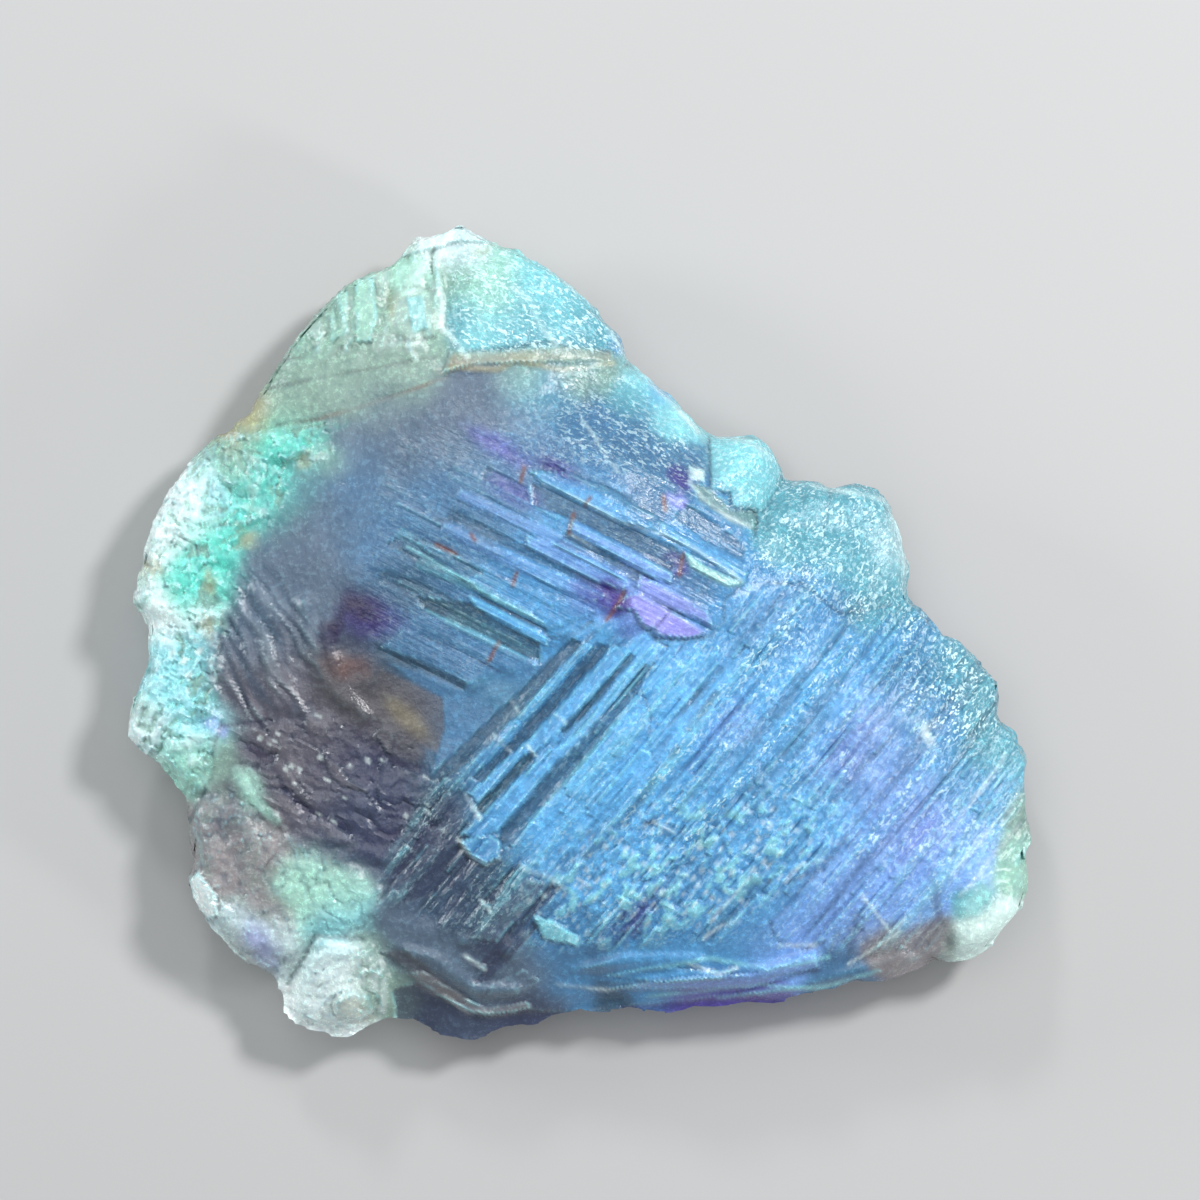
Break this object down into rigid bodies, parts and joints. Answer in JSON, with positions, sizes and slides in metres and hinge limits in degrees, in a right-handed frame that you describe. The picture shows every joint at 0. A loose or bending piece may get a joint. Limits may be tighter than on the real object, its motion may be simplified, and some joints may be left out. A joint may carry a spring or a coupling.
{
  "type": "fluorite specimen",
  "caption": "Intergrown fluorite crystal slab with stepped growth terraces, a pale cap and frosted lobes, lying on its flat broken back.",
  "frame": {"origin": "middle of the object's box, on the surface that its flat back rests on", "axes": "+X across the face to the right, +Y up the face as it is shown, +Z out of the face"},
  "size_m": [0.0908, 0.082, 0.0184],
  "materials": {
    "fluorite": "glassy crystal, cloudy blue and aqua, frosted in places"
  },
  "bodies": {
    "root": {"fluorite_crystal": "fluorite"}
  },
  "joints": []
}
